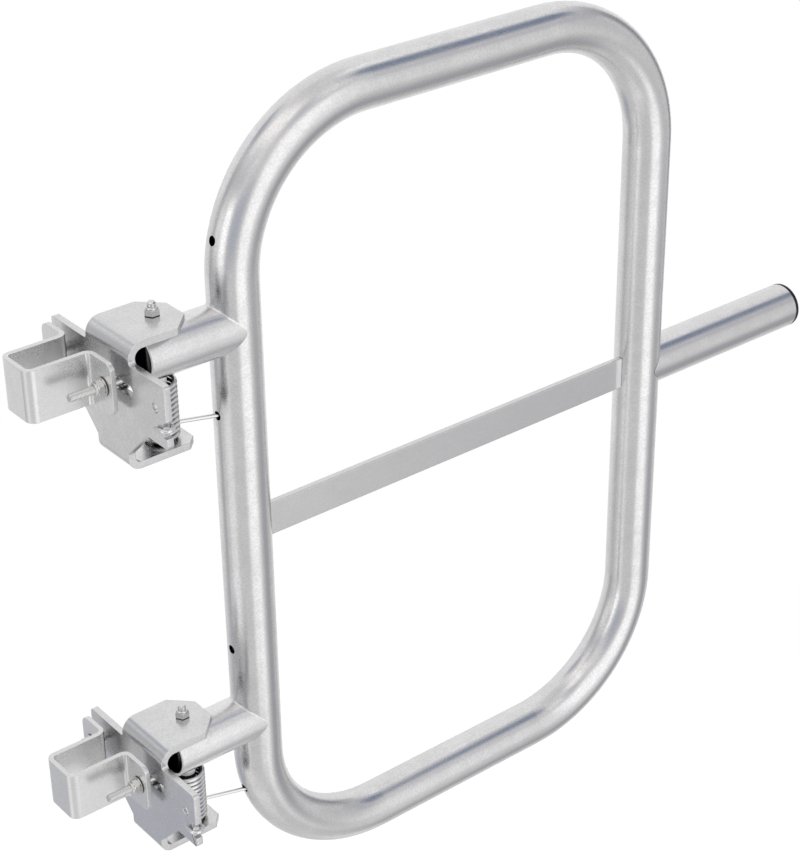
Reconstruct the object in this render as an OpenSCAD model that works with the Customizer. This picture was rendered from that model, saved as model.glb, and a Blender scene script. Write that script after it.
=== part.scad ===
// Self-closing walk-through gate for a cattle barn.
// A leaf of bent tube hangs on two spring hinges that clamp to a flat-sided post.
// The origin is the centre of the lower clamp's post socket, at the strap's mid height.
// X runs along the closed leaf towards its stop tube, Y to the back. The leaf opens
// towards -Y and its springs pull it shut again.

/* [Leaf] */
// Outer diameter of every tube of the leaf
tube_d = 48.3; // [42.4:0.1:52]
// Wall thickness of the tubes
tube_wall = 3.2; // [2:0.1:4]
// Outer width of the loop
loop_w = 554; // [480:1:700]
// Outer height of the loop
loop_h = 850; // [820:1:1100]
// Bend radius of the loop's corners, on the tube's centre line
loop_bend_r = 145; // [110:1:155]
// Root gap left at each weld
weld_gap = 0.2; // [0.1:0.05:0.4]
// Height of the flat cross bar
bar_h = 34.5; // [25:0.5:50]
// Thickness of the flat cross bar
bar_t = 7; // [5:0.5:10]

/* [Stop tube] */
// End of the stop tube from the centre line of the loop's leg
stop_reach = 222.3; // [150:0.1:300]
// Thickness of the plug's rim
plug_rim = 5.5; // [4:0.5:8]
// Rounding of the rim's edge
plug_edge_r = 2.5; // [1:0.5:3.5]
// Length of the plug's stem inside the tube
plug_stem = 22; // [15:1:35]
// Wall thickness of the plug's stem
plug_wall = 2.5; // [2:0.5:4]
// Gap between the plug's stem and the tube's bore
plug_gap = 0.1; // [0.05:0.05:0.3]

/* [Hinges] */
// Distance between the two hinge arms
hinge_spacing = 425; // [380:1:450]
// Hinge axis from the centre line of the loop's leg
arm_reach = 84; // [80:1:110]
// Length of the arm beyond the hinge axis, towards the post
arm_tail = 17.3; // [14:0.1:19]
// Height of the arm's axis above the middle of the clamp
arm_rise = 8; // [6:0.5:10]
// Middle of the post behind the plane of the leaf
post_set_back = 29; // [27:0.5:32]
// Outer diameter of the bearing sleeve
sleeve_d = 17; // [14:0.5:20]
// Running clearance of the sleeve on its bolt, on the radius
running_gap = 0.08; // [0.04:0.01:0.1]
// Clearance at each end of the sleeve
sleeve_end_gap = 0.3; // [0.2:0.1:0.5]

/* [Hinge brackets] */
// Thickness of the plate
plate_t = 7; // [5:0.5:8]
// Inner radius of the bend to the upper flange
upper_bend_r = 8; // [5:0.5:9]
// Inner radius of the bend to the lower flange
lower_bend_r = 5; // [3:0.5:6]
// Hinge axis from the face that meets the post
axis_reach = 48.8; // [47:0.1:52]
// Upper flange beyond the hinge axis
upper_reach = 22.2; // [20:0.1:28]
// Lower flange beyond the hinge axis
lower_reach = 23.2; // [20:0.1:28]
// Top of the upper flange above the arm's axis
flange_top = 35.6; // [33.5:0.1:40]
// Underside of the lower flange below the arm's axis
flange_bottom = 92; // [90:0.5:100]
// Upper flange in front of the hinge axis
upper_front = 36.6; // [30:0.1:40]
// Upper flange behind the hinge axis
upper_back = 31.5; // [28:0.1:40]
// Corner cut of the upper flange
upper_chamfer = 20; // [8:1:22]
// Width of the lower flange
lower_flange_w = 50; // [44:1:60]
// Corner cut of the lower flange
lower_chamfer = 9; // [4:1:15]
// Straight neck above the bend of the lower flange
lower_neck_h = 6; // [3:0.5:8]
// Fillet between the upper neck and the wings
neck_corner_r = 3; // [1:0.5:4]
// Width of the web across its wings
web_w = 178; // [172:1:200]
// Top of the wings above the arm's axis
wing_top = 17; // [12:0.5:19]
// Bottom of the wings below the arm's axis
wing_bottom = 42; // [38:0.5:48]
// Rounding of the wings' corners
wing_corner_r = 3; // [1:0.5:6]
// Height of the spring notch in the front edge
notch_h = 15.5; // [10:0.5:17]
// Depth of the spring notch
notch_depth = 5; // [4:0.5:8]
// Middle of the notch below the arm's axis
notch_drop = 24; // [22:0.5:26]
// Slot's front end from the middle of the front clamp bolt
slot_front = 27; // [12:1:28]
// Slot's back end from the middle of the front clamp bolt
slot_back = 15; // [8:1:18]
// Width of the clamp slot
slot_w = 11; // [9:0.5:14]
// Middle of the spare spring hole from the web's front edge
spare_hole_inset = 15.5; // [12:0.5:20]

/* [Post clamps] */
// Width of the socket between the strap's arms
socket_w = 35; // [30:1:40]
// Depth of the strap from the face of its ears to its closed end
strap_depth = 61; // [50:1:75]
// Gap between ears and bracket before the bolts are pulled up
ear_gap = 7.5; // [2:0.5:10]
// Height of the strap
strap_h = 50; // [40:1:60]
// Thickness of the strap
strap_t = 5; // [4:0.5:6]
// Inner radius of the strap's bends
strap_bend_r = 4; // [2:0.5:5]
// Width across both ears
ears_w = 112.6; // [108:0.2:120]
// Rounding of the ears' corners
ear_corner_r = 9; // [3:0.5:10]
// Distance between the two clamp bolts
clamp_pitch = 84; // [82:0.5:88]

/* [Fasteners] */
// Thread diameter of every bolt
bolt_d = 8; // [7:0.5:8]
// Width across flats of heads and nuts
hex_af = 13; // [12.5:0.1:13.5]
// Height of the bolt heads
head_h = 5.3; // [4:0.1:6]
// Height of the six flats of a nut
lock_hex_h = 6; // [5:0.1:6.5]
// Height of a nut's collar above its flats
lock_collar_h = 2; // [1.5:0.1:3]
// Collar inside the flats, and straight height below its dome
collar_inset = 0.6; // [0.3:0.1:1]
// Outer diameter of the washers
washer_d = 17.5; // [16:0.5:18]
// Thickness of the washers
washer_t = 1.6; // [1:0.1:2.5]
// Length of the clamp bolts under their heads
clamp_bolt_len = 55; // [48:1:65]
// Length of the hinge bolts under their heads
hinge_bolt_len = 140; // [138:1:160]
// Chamfer at a bolt's tip
tip_chamfer = 1; // [0.5:0.1:1.5]
// Clearance of the bolts in plate and washers, on the diameter
hole_gap = 1; // [0.4:0.1:1.5]
// Clearance of the bolts in their nuts, on the radius
thread_gap = 0.05; // [0.02:0.01:0.1]

/* [Springs] */
// Diameter of the spring wire
wire_d = 4; // [3:0.5:4]
// Mean diameter of the coil
coil_d = 31; // [29:0.5:34]
// Full turns of the coil, besides the part turn between its legs
coil_turns = 11; // [8:1:11]
// Gap between the wire and what it lies against
wire_gap = 0.3; // [0.2:0.05:0.4]
// Gap between the arm and the top of the coil
coil_top_gap = 0.9; // [0.6:0.1:1.5]
// Straight tip of the hook behind the web
hook_tip = 3; // [2:0.5:8]
// Straight run of the upper leg in front of the web
hook_run = 5; // [4:0.5:9]
// Straight run of the lower leg before its hole
leg_run = 6; // [4:0.5:8]
// Length of the lower leg inside its hole
leg_in_hole = 10; // [9:0.5:13]
// Spring holes above and below each arm's axis
spring_hole_offset = 85; // [83:0.5:87]
// Diameter of the spring holes
spring_hole_d = 9; // [8.5:0.5:11]

/* [Hidden] */
$fn = 64;
galvanised = [0.74, 0.75, 0.76];
zinc = [0.82, 0.82, 0.80];
spring_steel = [0.68, 0.69, 0.70];
plastic = [0.05, 0.05, 0.05];
cut = 1;
tube_r = tube_d / 2;
bore_r = tube_r - tube_wall;
bolt_r = bolt_d / 2;
hole_d = bolt_d + hole_gap;

// Places along X, from the post to the stop tube
web_x = (strap_depth + ear_gap) / 2;
hinge_x = web_x + axis_reach;
hinge_leg_x = hinge_x + arm_reach;
loop_span = loop_w - tube_d;
loop_x = hinge_leg_x + loop_span / 2;
stop_leg_x = hinge_leg_x + loop_span;

// Plane of the leaf, and its heights
leaf_y = -post_set_back;
loop_z = arm_rise + hinge_spacing / 2;
loop_rise = loop_h - tube_d;
leg_half = loop_rise / 2 - loop_bend_r;
rail_half = loop_span / 2 - loop_bend_r;

// Bracket and bolts, from the hinge axis at the height of the arm
web_face = -axis_reach;
web_front = -web_w / 2;
upper_out_r = upper_bend_r + plate_t;
lower_out_r = lower_bend_r + plate_t;
lower_neck_top = lower_neck_h + lower_out_r - flange_bottom;
front_bolt_y = post_set_back - clamp_pitch / 2;
back_bolt_y = post_set_back + clamp_pitch / 2;
sleeve_low = plate_t + sleeve_end_gap - flange_bottom;
sleeve_top = flange_top - plate_t - sleeve_end_gap;

// Strap, from the middle of its socket
strap_out_r = strap_bend_r + strap_t;
arm_y = socket_w / 2;
ear_x = web_x - ear_gap;
closed_x = ear_x - strap_depth;

// Spring, from the hinge axis at the height of the arm
wire_r = wire_d / 2;
coil_r = coil_d / 2;
hook_r = plate_t / 2 + wire_r + wire_gap;
hook_x = web_face + plate_t / 2;
hook_y = web_front + notch_depth;
hook_z = -notch_drop;
hole_face_x = arm_reach - tube_r;
hole_side_y = spring_hole_d / 2 - wire_r - wire_gap;
coil_top = -tube_r - coil_top_gap - wire_r;
coil_low = plate_t + wire_gap + wire_r - flange_bottom;
upper_leg = [hook_x + hook_r, hook_y + hook_run];
lower_leg = [hole_face_x - leg_run, hole_side_y];
turn_from = polar(upper_leg) - acos(coil_r / norm(upper_leg));
turn_to = polar(lower_leg) + acos(coil_r / norm(lower_leg));
turn_total = coil_turns * 360 + turn_from - turn_to;
rings_per_turn = 8;
wire_sides = 6;
ring_count = ceil(turn_total / 360 * rings_per_turn);
leaves_coil = coil_point(1);
clear_of_flange = (lower_reach + wire_r + wire_gap - leaves_coil.x)
    / (lower_leg.x - leaves_coil.x);
spring_path = concat(
    [[hook_x - hook_r, hook_y + hook_tip, hook_z]],
    [for (a = [180 : 30 : 360])
        [hook_x + hook_r * cos(a), hook_y + hook_r * sin(a), hook_z]],
    [[upper_leg.x, upper_leg.y, hook_z]],
    [for (i = [0 : ring_count]) coil_point(i / ring_count)],
    [leaves_coil + clear_of_flange
        * ([lower_leg.x, lower_leg.y, coil_low] - leaves_coil)],
    [for (x = [lower_leg.x, hole_face_x, hole_face_x + leg_in_hole])
        [x, hole_side_y, -spring_hole_offset]]
);
echo(str("least gap of the spring to itself, mm: ",
    least_distance(spring_path, rings_per_turn / 2) - wire_d));

// Angle of a plan point round the hinge axis, from 0 to 360
function polar(p) = (atan2(p.y, p.x) + 360) % 360;

// Point of the coil, from 0 at its top to 1 at its foot
function coil_point(t) =
    let (a = turn_from - t * turn_total)
    [coil_r * cos(a), coil_r * sin(a), coil_top + t * (coil_low - coil_top)];

// Least distance between points of a path that are some steps apart
function least_distance(p, steps) = min([
    for (i = [0 : len(p) - 1 - steps])
        for (j = [i + steps : len(p) - 1])
            norm(p[i] - p[j])
]);

// Direction of a path at one of its points
function heading(p, i) =
    let (d = p[min(i + 1, len(p) - 1)] - p[max(i - 1, 0)])
    d / norm(d);

// Round wire along a path that never stands upright
module wire(p, r, sides) {
    points = [
        for (i = [0 : len(p) - 1])
            let (
                t = heading(p, i),
                across = cross(t, [0, 0, 1]),
                u = across / norm(across),
                v = cross(u, t)
            )
            for (k = [0 : sides - 1])
                p[i] + r * (cos(k * 360 / sides) * u + sin(k * 360 / sides) * v)
    ];
    last = (len(p) - 1) * sides;
    skin = [
        for (i = [0 : len(p) - 2])
            for (k = [0 : sides - 1])
                let (
                    a = i * sides + k,
                    b = i * sides + (k + 1) % sides
                )
                each [[a, b, a + sides], [b, b + sides, a + sides]]
    ];
    near_end = [for (k = [1 : sides - 2]) [0, k + 1, k]];
    far_end = [for (k = [1 : sides - 2]) [last, last + k, last + k + 1]];
    polyhedron(points = points, faces = concat(skin, near_end, far_end));
}

// Turns a flat outline so that it stands across the X axis
module across_x() {
    rotate([90, 0, 90])
        children();
}

// Sliver between a square corner at the origin and its rounding. The corner's
// sides run towards side_x and side_y.
module corner(r, side_x, side_y) {
    difference() {
        translate([side_x > 0 ? -cut : -r, side_y > 0 ? -cut : -r])
            square(r + cut);
        translate([side_x * r, side_y * r])
            circle(r = r);
    }
}

// Puts a hinge's pieces at the lower or the upper arm
module at_hinge(upper) {
    translate([hinge_x, leaf_y, arm_rise + (upper ? hinge_spacing : 0)])
        children();
}

// Puts a clamp's pieces at the lower or the upper hinge
module at_clamp(upper) {
    translate([0, 0, upper ? hinge_spacing : 0])
        children();
}

// Puts a copy on each of a clamp's two bolts, along +X from a place x
module at_clamp_bolts(x) {
    for (side = [-1, 1])
        translate([x, side * clamp_pitch / 2, 0])
            rotate([0, 90, 0])
                children();
}

// Straight tube from the origin, along +X
module pipe(length) {
    rotate([0, 90, 0])
        difference() {
            cylinder(r = tube_r, h = length);
            translate([0, 0, -cut])
                cylinder(r = bore_r, h = length + 2 * cut);
        }
}

// Quarter bend round the origin, from +X to +Z
module quarter_bend() {
    rotate([90, 0, 0])
        rotate_extrude(angle = 90)
            translate([loop_bend_r, 0])
                difference() {
                    circle(r = tube_r);
                    circle(r = bore_r);
                }
}

// Space that an upright tube and its weld gap take from a coped end
module cope(d) {
    translate([0, 0, -tube_d])
        cylinder(r = d / 2 + weld_gap, h = 2 * tube_d);
}

module loop_tube() {
    color(galvanised)
        translate([loop_x, leaf_y, loop_z])
            difference() {
                union() {
                    for (side = [-1, 1]) {
                        translate([side * loop_span / 2, 0, leg_half])
                            rotate([0, 90, 0])
                                pipe(2 * leg_half);
                        translate([-rail_half, 0, side * loop_rise / 2])
                            pipe(2 * rail_half);
                    }
                    for (corner = [[1, 1, 0], [-1, 1, -90], [-1, -1, -180], [1, -1, -270]])
                        translate([corner[0] * rail_half, 0, corner[1] * leg_half])
                            rotate([0, corner[2], 0])
                                quarter_bend();
                }
                for (arm = [-1, 1])
                    for (side = [-1, 1])
                        translate([
                            -loop_span / 2 - tube_r - cut,
                            0,
                            arm * hinge_spacing / 2 + side * spring_hole_offset
                        ])
                            rotate([0, 90, 0])
                                cylinder(d = spring_hole_d, h = tube_r + cut);
            }
}

module cross_bar() {
    color(galvanised)
        translate([loop_x, leaf_y, loop_z])
            difference() {
                cube([loop_span, bar_t, bar_h], center = true);
                for (side = [-1, 1])
                    translate([side * loop_span / 2, 0, 0])
                        cope(tube_d);
            }
}

module hinge_arm() {
    color(galvanised)
        difference() {
            translate([-arm_tail, 0, 0])
                pipe(arm_tail + arm_reach);
            translate([arm_reach, 0, 0])
                cope(tube_d);
            cope(sleeve_d);
        }
}

module hinge_sleeve() {
    length = sleeve_top - sleeve_low;
    color(galvanised)
        translate([0, 0, sleeve_low])
            difference() {
                cylinder(d = sleeve_d, h = length);
                translate([0, 0, -cut])
                    cylinder(r = bolt_r + running_gap, h = length + 2 * cut);
            }
}

module stop_tube() {
    color(galvanised)
        translate([stop_leg_x, leaf_y, loop_z])
            difference() {
                pipe(stop_reach);
                cope(tube_d);
            }
}

// Rim with a rounded edge, and a hollow stem that grips the tube's bore
module stop_tube_plug() {
    stem_r = bore_r - plug_gap;
    color(plastic)
        translate([stop_leg_x + stop_reach, leaf_y, loop_z])
            rotate([0, 90, 0])
                rotate_extrude()
                    union() {
                        difference() {
                            square([tube_r, plug_rim]);
                            translate([tube_r, plug_rim])
                                corner(plug_edge_r, -1, -1);
                        }
                        translate([stem_r - plug_wall, -plug_stem])
                            square([plug_wall, plug_stem + cut]);
                    }
}

// One side of the web from the hinge axis, below an upper neck of that reach
module half_web(neck) {
    slope = -wing_bottom - lower_neck_top;
    polygon([
        [0, flange_top + cut],
        [neck, flange_top + cut],
        [neck, wing_top],
        [web_w / 2, wing_top],
        [web_w / 2, -wing_bottom],
        [lower_flange_w / 2 + slope, -wing_bottom],
        [lower_flange_w / 2, lower_neck_top],
        [lower_flange_w / 2, -flange_bottom - cut],
        [0, -flange_bottom - cut]
    ]);
    translate([neck, wing_top])
        corner(neck_corner_r, 1, 1);
}

// Web with its two wings, seen from the leaf: notch, slot and holes
module web_outline() {
    difference() {
        union() {
            half_web(upper_back);
            mirror([1, 0])
                half_web(upper_front);
        }
        for (side = [-1, 1]) {
            translate([side * web_w / 2, wing_top])
                corner(wing_corner_r, -side, -1);
            translate([side * web_w / 2, -wing_bottom])
                corner(wing_corner_r, -side, 1);
        }
        translate([web_front - cut, -notch_drop - notch_h / 2])
            square([notch_depth + cut, notch_h]);
        translate([web_front + spare_hole_inset, -arm_rise])
            circle(d = hole_d);
        translate([back_bolt_y, -arm_rise])
            circle(d = hole_d);
        translate([front_bolt_y, -arm_rise])
            clamp_slot();
    }
}

// Slot with round ends, from the middle of its bolt
module clamp_slot() {
    straight = slot_front + slot_back - slot_w;
    translate([slot_w / 2 - slot_front, -slot_w / 2])
        square([straight, slot_w]);
    for (end = [0, straight])
        translate([slot_w / 2 - slot_front + end, 0])
            circle(d = slot_w);
}

// Plan of a flange with its cut corners, from its bend's outer radius on
module flange_outline(front, back, reach, chamfer, out_r) {
    start = web_face + out_r - cut;
    polygon([
        [start, -front],
        [reach - chamfer, -front],
        [reach, chamfer - front],
        [reach, back - chamfer],
        [reach - chamfer, back],
        [start, back]
    ]);
}

// Side view of the bent plate: upper flange, web and lower flange
module plate_profile() {
    reach = axis_reach + max(upper_reach, lower_reach) + cut;
    difference() {
        translate([web_face, -flange_bottom])
            square([reach, flange_bottom + flange_top]);
        translate([web_face, -flange_bottom])
            corner(lower_out_r, 1, 1);
        translate([web_face, flange_top])
            corner(upper_out_r, 1, -1);
        difference() {
            translate([web_face + plate_t, plate_t - flange_bottom])
                square([reach, flange_bottom + flange_top - 2 * plate_t]);
            translate([web_face + plate_t, plate_t - flange_bottom])
                corner(lower_bend_r, 1, 1);
            translate([web_face + plate_t, flange_top - plate_t])
                corner(upper_bend_r, 1, -1);
        }
    }
}

// One cut and bent plate: the profile, trimmed to the outlines of web and flanges
module hinge_bracket() {
    lower_half = lower_flange_w / 2;
    color(galvanised)
        difference() {
            intersection() {
                translate([0, web_w / 2, 0])
                    rotate([90, 0, 0])
                        linear_extrude(web_w)
                            plate_profile();
                union() {
                    translate([web_face - cut, 0, 0])
                        across_x()
                            linear_extrude(max(upper_out_r, lower_out_r) + cut)
                                web_outline();
                    translate([0, 0, flange_top - plate_t - cut])
                        linear_extrude(plate_t + 2 * cut)
                            flange_outline(
                                upper_front, upper_back, upper_reach,
                                upper_chamfer, upper_out_r
                            );
                    translate([0, 0, -flange_bottom - cut])
                        linear_extrude(plate_t + 2 * cut)
                            flange_outline(
                                lower_half, lower_half, lower_reach,
                                lower_chamfer, lower_out_r
                            );
                }
            }
            translate([0, 0, -flange_bottom - cut])
                cylinder(d = hole_d, h = flange_bottom + flange_top + 2 * cut);
        }
}

// Plan of the strap: a U with an ear bent outwards at each end
module strap_profile() {
    difference() {
        union() {
            translate([closed_x - strap_t, -arm_y - strap_t])
                square([strap_depth + strap_t, socket_w + 2 * strap_t]);
            translate([ear_x - strap_t, -ears_w / 2])
                square([strap_t, ears_w]);
            for (side = [-1, 1])
                translate([ear_x - strap_t, side * (arm_y + strap_t)])
                    corner(strap_bend_r, -1, side);
        }
        difference() {
            translate([closed_x, -arm_y])
                square([strap_depth + cut, socket_w]);
            for (side = [-1, 1])
                translate([closed_x, side * arm_y])
                    corner(strap_bend_r, 1, -side);
        }
        for (side = [-1, 1]) {
            translate([closed_x - strap_t, side * (arm_y + strap_t)])
                corner(strap_out_r, 1, -side);
            translate([ear_x, side * arm_y])
                corner(strap_out_r, -1, side);
        }
    }
}

module post_clamp() {
    color(galvanised)
        difference() {
            translate([0, 0, -strap_h / 2])
                linear_extrude(strap_h)
                    strap_profile();
            at_clamp_bolts(ear_x - strap_t - cut)
                cylinder(d = hole_d, h = strap_t + 2 * cut);
            for (side = [-1, 1])
                for (up = [-1, 1])
                    translate([ear_x - strap_t - cut, side * ears_w / 2, up * strap_h / 2])
                        across_x()
                            linear_extrude(strap_t + 2 * cut)
                                corner(ear_corner_r, -side, -up);
        }
}

// Six flats from the origin up, chamfered at the top and, for a nut, at the foot
module hexagon(height, both_ends) {
    corner_r = hex_af / sqrt(3);
    chamfer = (corner_r - hex_af / 2) * tan(30);
    foot = both_ends ? chamfer : 0;
    intersection() {
        cylinder(r = corner_r, h = height, $fn = 6);
        rotate_extrude()
            polygon([
                [0, 0],
                [both_ends ? hex_af / 2 : corner_r, 0],
                [corner_r, foot],
                [corner_r, height - chamfer],
                [hex_af / 2, height],
                [0, height]
            ]);
    }
}

// Hexagon bolt: its head stands on the origin and its shank points down
module bolt(length) {
    color(zinc)
        union() {
            hexagon(head_h, false);
            translate([0, 0, -length])
                rotate_extrude()
                    polygon([
                        [0, 0],
                        [bolt_r - tip_chamfer, 0],
                        [bolt_r, tip_chamfer],
                        [bolt_r, length + cut],
                        [0, length + cut]
                    ]);
        }
}

// Nut with a domed collar, which holds its nylon ring
module locking_nut() {
    collar_r = hex_af / 2 - collar_inset;
    height = lock_hex_h + lock_collar_h;
    color(zinc)
        difference() {
            union() {
                hexagon(lock_hex_h, true);
                rotate_extrude()
                    difference() {
                        square([collar_r, height]);
                        translate([collar_r, height])
                            corner(lock_collar_h - collar_inset, -1, -1);
                    }
            }
            translate([0, 0, -cut])
                cylinder(r = bolt_r + thread_gap, h = height + 2 * cut);
        }
}

module washer() {
    color(zinc)
        difference() {
            cylinder(d = washer_d, h = washer_t);
            translate([0, 0, -cut])
                cylinder(d = bolt_d + hole_gap / 2, h = washer_t + 2 * cut);
        }
}

// Washers under the heads, against the bracket, and under the nuts, against the ears
module clamp_washers() {
    at_clamp_bolts(web_x + plate_t)
        washer();
    at_clamp_bolts(ear_x - strap_t - washer_t)
        washer();
}

module clamp_bolts() {
    at_clamp_bolts(web_x + plate_t + washer_t)
        bolt(clamp_bolt_len);
}

module clamp_nuts() {
    at_clamp_bolts(ear_x - strap_t - washer_t)
        rotate([180, 0, 0])
            locking_nut();
}

module hinge_bolt() {
    translate([0, 0, -flange_bottom])
        rotate([180, 0, 0])
            bolt(hinge_bolt_len);
}

module hinge_nut() {
    translate([0, 0, flange_top])
        locking_nut();
}

// Torsion spring: hooked tip, upper leg, coil and lower leg in one wire
module spring() {
    color(spring_steel)
        wire(spring_path, wire_r, wire_sides);
}

module upper_hinge_arm() {
    at_hinge(true)
        hinge_arm();
}

module lower_hinge_arm() {
    at_hinge(false)
        hinge_arm();
}

module upper_hinge_sleeve() {
    at_hinge(true)
        hinge_sleeve();
}

module lower_hinge_sleeve() {
    at_hinge(false)
        hinge_sleeve();
}

module upper_hinge_bracket() {
    at_hinge(true)
        hinge_bracket();
}

module lower_hinge_bracket() {
    at_hinge(false)
        hinge_bracket();
}

module upper_hinge_bolt() {
    at_hinge(true)
        hinge_bolt();
}

module lower_hinge_bolt() {
    at_hinge(false)
        hinge_bolt();
}

module upper_hinge_nut() {
    at_hinge(true)
        hinge_nut();
}

module lower_hinge_nut() {
    at_hinge(false)
        hinge_nut();
}

module upper_spring() {
    at_hinge(true)
        spring();
}

module lower_spring() {
    at_hinge(false)
        spring();
}

module upper_post_clamp() {
    at_clamp(true)
        post_clamp();
}

module lower_post_clamp() {
    at_clamp(false)
        post_clamp();
}

module upper_clamp_bolts() {
    at_clamp(true)
        clamp_bolts();
}

module lower_clamp_bolts() {
    at_clamp(false)
        clamp_bolts();
}

module upper_clamp_nuts() {
    at_clamp(true)
        clamp_nuts();
}

module lower_clamp_nuts() {
    at_clamp(false)
        clamp_nuts();
}

module upper_clamp_washers() {
    at_clamp(true)
        clamp_washers();
}

module lower_clamp_washers() {
    at_clamp(false)
        clamp_washers();
}

loop_tube();
cross_bar();
upper_hinge_arm();
lower_hinge_arm();
upper_hinge_sleeve();
lower_hinge_sleeve();
stop_tube();
stop_tube_plug();
upper_hinge_bracket();
lower_hinge_bracket();
upper_post_clamp();
lower_post_clamp();
upper_clamp_bolts();
lower_clamp_bolts();
upper_clamp_nuts();
lower_clamp_nuts();
upper_clamp_washers();
lower_clamp_washers();
upper_hinge_bolt();
lower_hinge_bolt();
upper_hinge_nut();
lower_hinge_nut();
upper_spring();
lower_spring();
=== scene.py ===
# The self-closing walk-through gate: studio, leaf, hinge brackets, clamps, bolts and springs.
import bpy, bmesh, math
from mathutils import Matrix, Vector


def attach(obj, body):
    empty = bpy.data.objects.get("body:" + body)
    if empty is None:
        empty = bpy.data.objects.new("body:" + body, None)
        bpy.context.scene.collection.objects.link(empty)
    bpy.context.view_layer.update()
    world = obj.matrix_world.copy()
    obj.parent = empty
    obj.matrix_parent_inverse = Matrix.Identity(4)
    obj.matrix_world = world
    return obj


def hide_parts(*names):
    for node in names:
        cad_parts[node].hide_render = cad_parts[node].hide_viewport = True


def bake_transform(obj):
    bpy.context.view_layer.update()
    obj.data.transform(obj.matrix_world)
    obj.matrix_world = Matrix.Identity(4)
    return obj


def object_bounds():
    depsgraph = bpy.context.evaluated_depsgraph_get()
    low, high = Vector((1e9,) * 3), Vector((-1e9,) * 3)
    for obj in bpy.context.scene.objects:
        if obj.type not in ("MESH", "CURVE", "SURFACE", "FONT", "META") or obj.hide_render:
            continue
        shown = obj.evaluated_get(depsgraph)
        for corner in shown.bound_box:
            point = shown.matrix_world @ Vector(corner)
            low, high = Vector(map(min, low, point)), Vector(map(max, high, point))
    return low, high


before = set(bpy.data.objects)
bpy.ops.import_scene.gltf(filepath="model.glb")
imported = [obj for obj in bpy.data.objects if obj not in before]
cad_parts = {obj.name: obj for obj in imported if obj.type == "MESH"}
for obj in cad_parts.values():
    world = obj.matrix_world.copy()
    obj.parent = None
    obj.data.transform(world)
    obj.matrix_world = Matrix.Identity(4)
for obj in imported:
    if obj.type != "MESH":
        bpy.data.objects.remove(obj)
cad_box = [list(corner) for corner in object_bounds()]

# Camera. It stands in front of the gate, left of it and above, at the distance and with the
# lens that the photograph's perspective gives.
camera_data = bpy.data.cameras.new("camera")
camera_data.sensor_fit = "VERTICAL"
camera_data.sensor_height = 36.0
camera_data.lens = 91.583
camera_data.clip_end = 50.0
camera = bpy.data.objects.new("camera", camera_data)
bpy.context.scene.collection.objects.link(camera)
camera_at = (-0.78657, -1.46246, 1.28663)
yaw, pitch, roll = 0.6713, 0.5100, -0.0138
ahead = Vector((
    math.sin(yaw) * math.cos(pitch),
    math.cos(yaw) * math.cos(pitch),
    -math.sin(pitch),
))
level = Vector((math.cos(yaw), -math.sin(yaw), 0.0))
above = level.cross(ahead)
right = level * math.cos(roll) + above * math.sin(roll)
above = above * math.cos(roll) - level * math.sin(roll)
camera.matrix_world = Matrix.Translation(camera_at) @ Matrix(
    (right, above, -ahead)).transposed().to_4x4()
bpy.context.scene.camera = camera
bpy.context.scene.view_settings.view_transform = "Standard"

# Studio. A pale room whose softboxes and darker walls give the zinc its long bright and grey
# streaks. Each panel has its bearing from +Y towards +X and its height, both in degrees, then
# its width, its depth, the softness of its edge and its colour.
world = bpy.data.worlds.new("studio")
bpy.context.scene.world = world
world.use_nodes = True
world.node_tree.nodes.clear()


def node(tree, kind, inputs=None, **settings):
    """A shader or geometry node with its settings, and its sockets linked or set."""
    made = tree.nodes.new(kind)
    for name, value in settings.items():
        setattr(made, name, value)
    for socket, value in (inputs or {}).items():
        if isinstance(value, bpy.types.NodeSocket):
            tree.links.new(value, made.inputs[socket])
        else:
            made.inputs[socket].default_value = value
    return made


def reckon(tree, kind, *values):
    """The result of one sum on numbers and sockets."""
    return node(tree, "ShaderNodeMath", dict(enumerate(values)), operation=kind).outputs[0]


def ramp(tree, value, start, end, low=0.0, high=1.0):
    """A smooth change from low to high while the value goes from start to end."""
    return node(tree, "ShaderNodeMapRange", {
        "Value": value, "From Min": start, "From Max": end, "To Min": low, "To Max": high,
    }, interpolation_type="SMOOTHSTEP").outputs["Result"]


def mixed(tree, share, first, second):
    """One colour laid over another by a share."""
    mix = node(tree, "ShaderNodeMix", data_type="RGBA")
    for socket, value in (("Factor", share), ("A", first), ("B", second)):
        if isinstance(value, bpy.types.NodeSocket):
            tree.links.new(value, mix.inputs[socket])
        else:
            mix.inputs[socket].default_value = value
    return mix.outputs["Result"]


room = world.node_tree
view = node(room, "ShaderNodeSeparateXYZ", {
    0: node(room, "ShaderNodeTexCoord").outputs["Generated"],
})
per_radian = math.degrees(1.0)
height = reckon(room, "MULTIPLY", reckon(room, "ARCSINE", view.outputs[2]), per_radian)


def studio_panel(under, bearing, rise, width, depth, soft, colour):
    """The room's colours with one more soft-edged panel over them."""
    sine, cosine = math.sin(math.radians(bearing)), math.cos(math.radians(bearing))
    x, y = view.outputs[0], view.outputs[1]
    side = reckon(
        room, "SUBTRACT",
        reckon(room, "MULTIPLY", x, cosine), reckon(room, "MULTIPLY", y, sine),
    )
    front = reckon(
        room, "ADD", reckon(room, "MULTIPLY", x, sine), reckon(room, "MULTIPLY", y, cosine)
    )
    angle = reckon(room, "MULTIPLY", reckon(room, "ARCTAN2", side, front), per_radian)
    across = reckon(room, "ABSOLUTE", angle)
    updown = reckon(room, "ABSOLUTE", reckon(room, "SUBTRACT", height, rise))
    share = reckon(
        room, "MULTIPLY",
        ramp(room, across, width / 2 + soft, width / 2 - soft),
        ramp(room, updown, depth / 2 + soft, depth / 2 - soft),
    )
    return mixed(room, share, under, (*colour, 1.0))


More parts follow.
